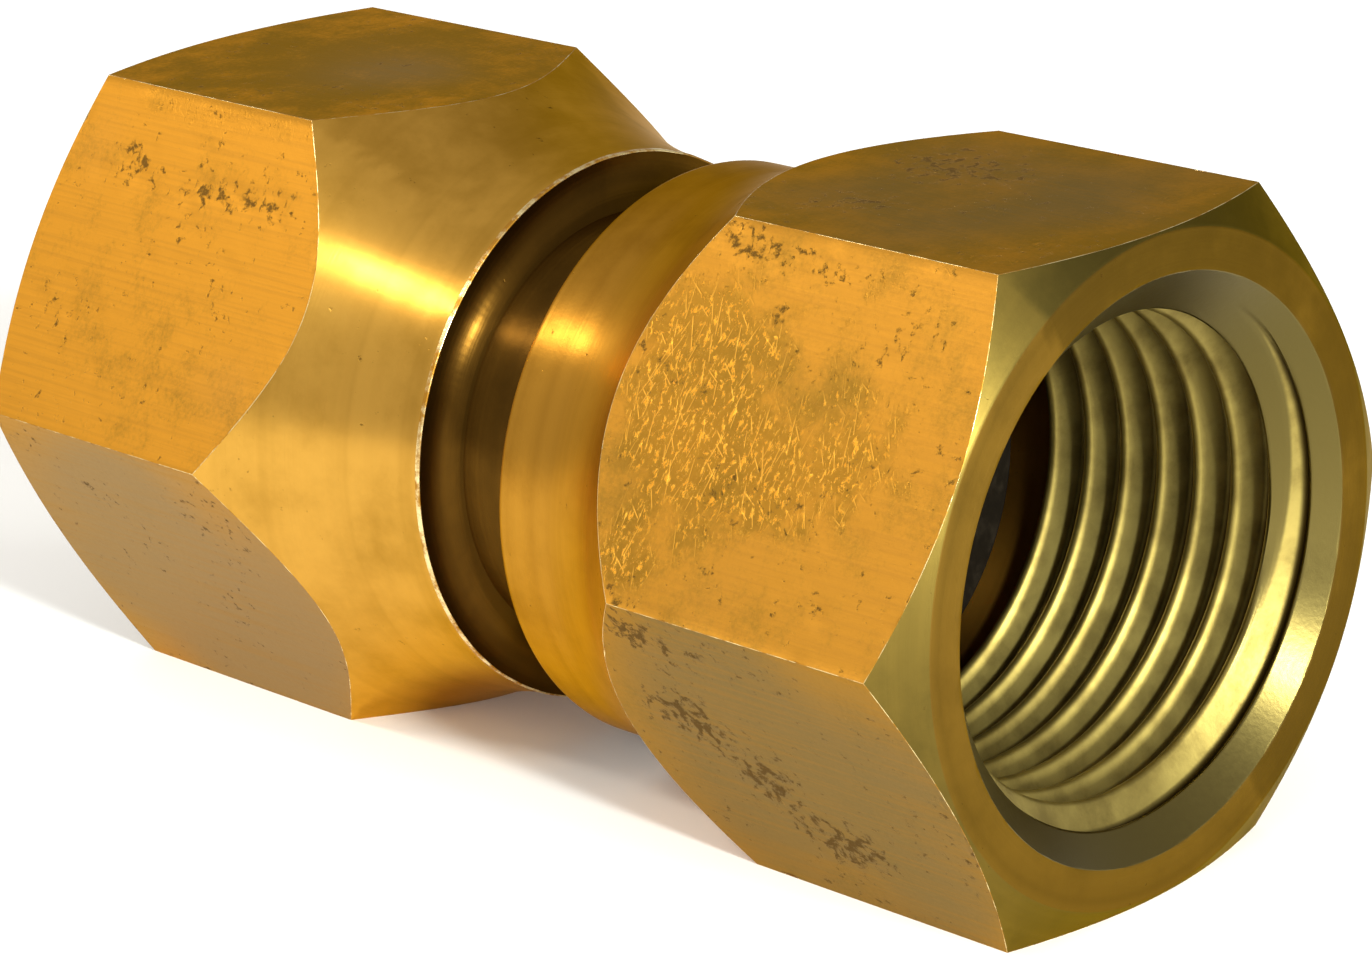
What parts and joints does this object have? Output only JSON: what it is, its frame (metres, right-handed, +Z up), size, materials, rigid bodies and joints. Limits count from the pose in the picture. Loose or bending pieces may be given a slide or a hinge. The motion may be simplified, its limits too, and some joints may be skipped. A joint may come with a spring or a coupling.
{
  "type": "swivel pipe union fitting",
  "caption": "Brass pipe union: hexagonal female body with a turned neck and a captive, free-turning hexagonal female nut for a second threaded pipe.",
  "frame": {"origin": "on the fitting's axis, midway between the port face and the nut's mouth face, with the nut pulled fully forward", "axes": "+X along the axis towards the swivel nut's mouth, +Z up, normal to the top flats of both hexagons"},
  "size_m": [0.0512, 0.03, 0.026],
  "materials": {
    "body_brass": "turned and drawn hexagon brass, satin, lightly tarnished",
    "nut_brass": "drawn hexagon brass, scratched and stained, turned collar and mouth",
    "ring_bronze": "drawn spring bronze wire",
    "washer_rubber": "moulded black rubber"
  },
  "bodies": {
    "body": {"female_body": "body_brass", "sealing_washer": "washer_rubber"},
    "retainer": {"retaining_ring": "ring_bronze"},
    "nut": {"swivel_nut": "nut_brass"}
  },
  "joints": [
    {"name": "nut_spin", "type": "hinge", "parent": "body", "child": "retainer", "pos_m": [0, 0, 0], "axis": [1, 0, 0], "continuous": true},
    {"name": "nut_slide", "type": "slide", "parent": "retainer", "child": "nut", "axis": [-1, 0, 0], "range_m": [0, 0.0045]}
  ]
}
